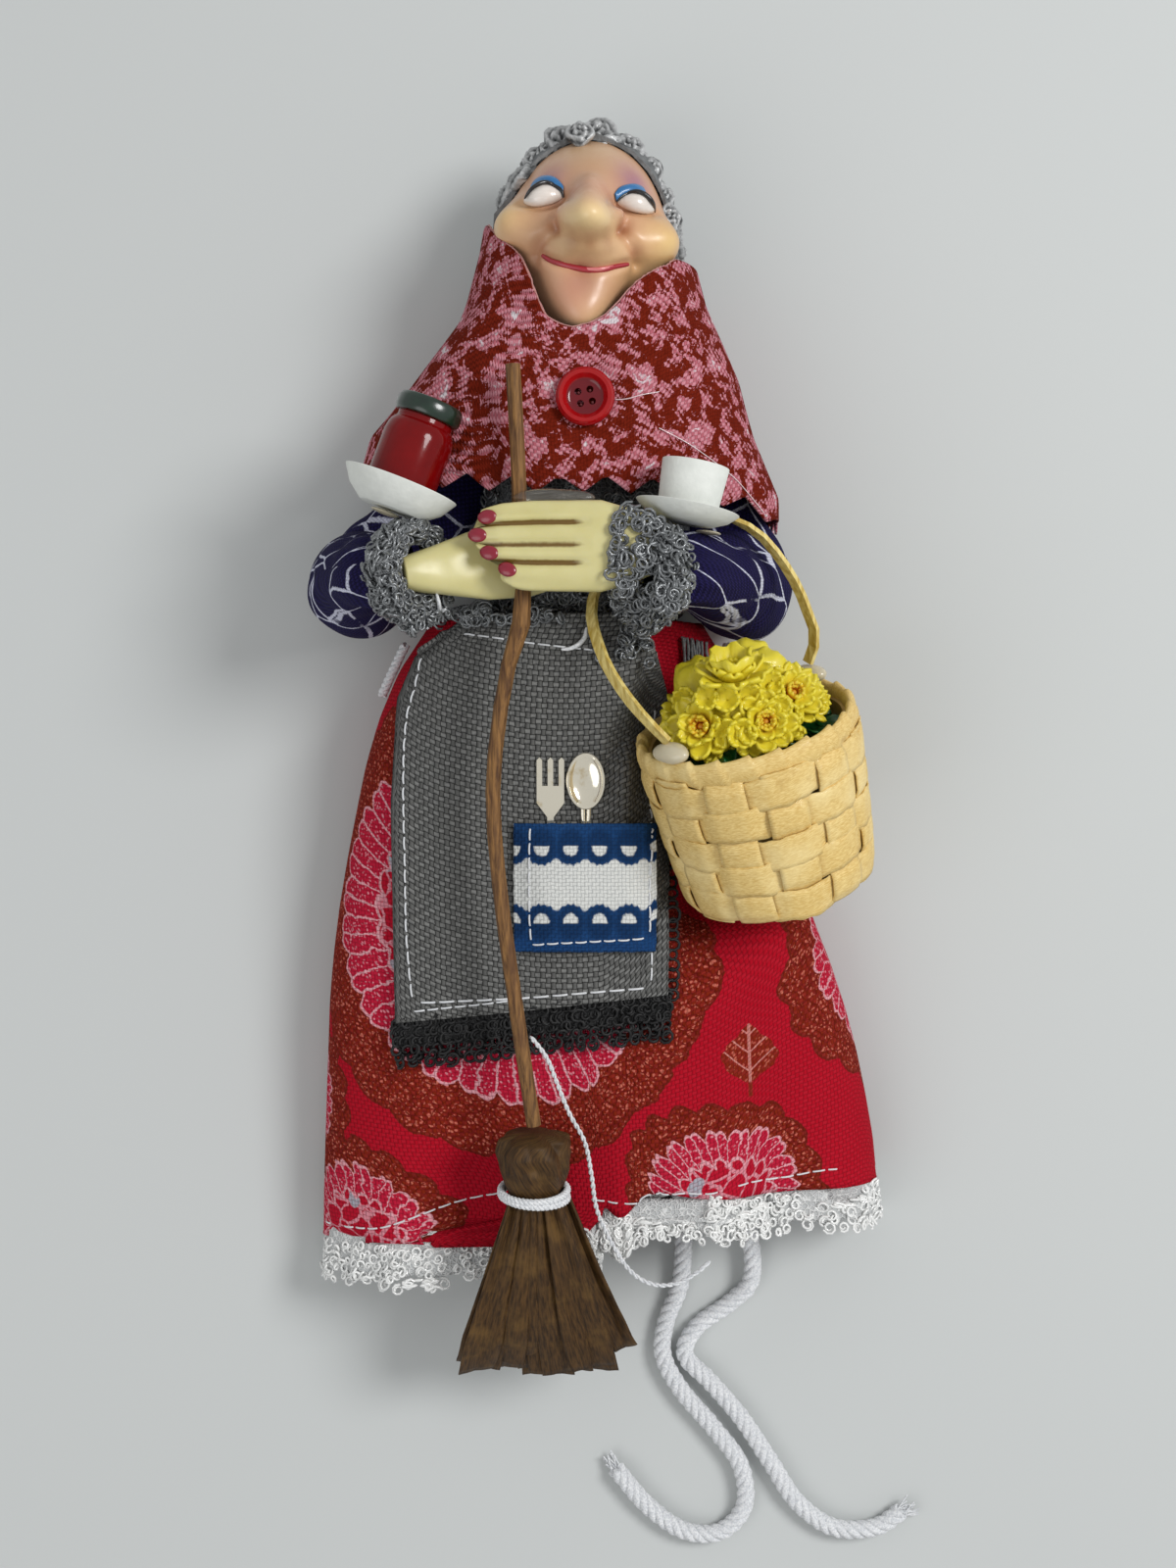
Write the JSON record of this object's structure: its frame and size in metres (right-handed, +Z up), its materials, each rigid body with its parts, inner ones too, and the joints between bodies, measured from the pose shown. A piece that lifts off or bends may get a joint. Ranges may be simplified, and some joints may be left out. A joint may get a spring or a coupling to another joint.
{
  "type": "apple head doll",
  "caption": "Old-woman hanging doll laid on its back, with a broom in folded hands, a flower basket on one arm, an apron, a headscarf and bare leg cords.",
  "frame": {"origin": "middle of the lying doll's box, without its cords, on the surface that it lies on", "axes": "+Y along the doll towards its head, +Z up out of its front, +X to the doll's own left"},
  "size_m": [0.1125, 0.2646, 0.0541],
  "materials": {
    "painted_moulding": "satin painted moulding",
    "moulded_hair": "silver-grey paint",
    "moulded_hands": "cream moulding with painted nails",
    "scarf_print": "printed cotton",
    "button_red": "glossy",
    "navy_print": "printed cotton",
    "cuff_lace": "shiny gathered lace",
    "bodice_lace": "lace over cloth",
    "inner_cloth": "plain cloth",
    "skirt_print": "printed cotton",
    "hem_lace": "white lace",
    "apron_weave": "grey weave",
    "black_lace": "black lace",
    "pocket_print": "blue and white printed cotton",
    "plated": "pale plated metal",
    "bark": "twig with its bark",
    "brown_paper": "twisted paper strips",
    "cotton_string": "white twisted cotton",
    "splint": "woven wood splint",
    "cane": "varnished cane",
    "petals": "moulded blooms",
    "leaves": "moulded leaves",
    "white_ware": "matt white ware",
    "jar_red": "glossy red",
    "lid_green": "dark green",
    "glue": "set clear glue"
  },
  "bodies": {
    "doll": {"head": "painted_moulding", "neck_post": "painted_moulding", "hair": "moulded_hair", "hand_left": "moulded_hands", "hand_right": "moulded_hands", "scarf": "scarf_print", "button": "button_red", "sleeve_left": "navy_print", "sleeve_right": "navy_print", "cuff_left": "cuff_lace", "cuff_right": "cuff_lace", "bodice": "bodice_lace", "hips": "inner_cloth", "skirt": "skirt_print", "hem_lace": "hem_lace", "apron": "apron_weave", "apron_lace": "black_lace", "apron_pocket": "pocket_print", "broom_stick": "bark", "broom_bristles": "brown_paper", "broom_tie": "cotton_string", "broom_thread": "cotton_string", "leg_cord_left": "cotton_string", "leg_cord_right": "cotton_string", "waist_tie_left": "cotton_string", "waist_tie_right": "cotton_string", "jar_dish": "white_ware", "saucer": "white_ware", "cup": "white_ware", "jar": "jar_red", "jar_lid": "lid_green", "dish_glue": "glue", "saucer_glue": "glue", "hand_glue": "glue"},
    "basket": {"basket": "splint", "basket_handle": "cane", "handle_glue_front": "glue", "handle_glue_back": "glue", "flowers": "petals", "leaves": "leaves"},
    "fork": {"fork": "plated"},
    "spoon": {"spoon": "plated"}
  },
  "joints": [
    {"name": "basket_swing", "type": "hinge", "parent": "doll", "child": "basket", "pos_m": [0.0171, 0.03285, 0.0349], "axis": [-0.4311, 0, 0.9023], "range_deg": [0, 20]},
    {"name": "fork_slide", "type": "slide", "parent": "doll", "child": "fork", "axis": [0, 0.9959, 0.0908], "range_m": [0, 0.012]},
    {"name": "spoon_slide", "type": "slide", "parent": "doll", "child": "spoon", "axis": [0, 0.9959, 0.0908], "range_m": [0, 0.012]}
  ]
}
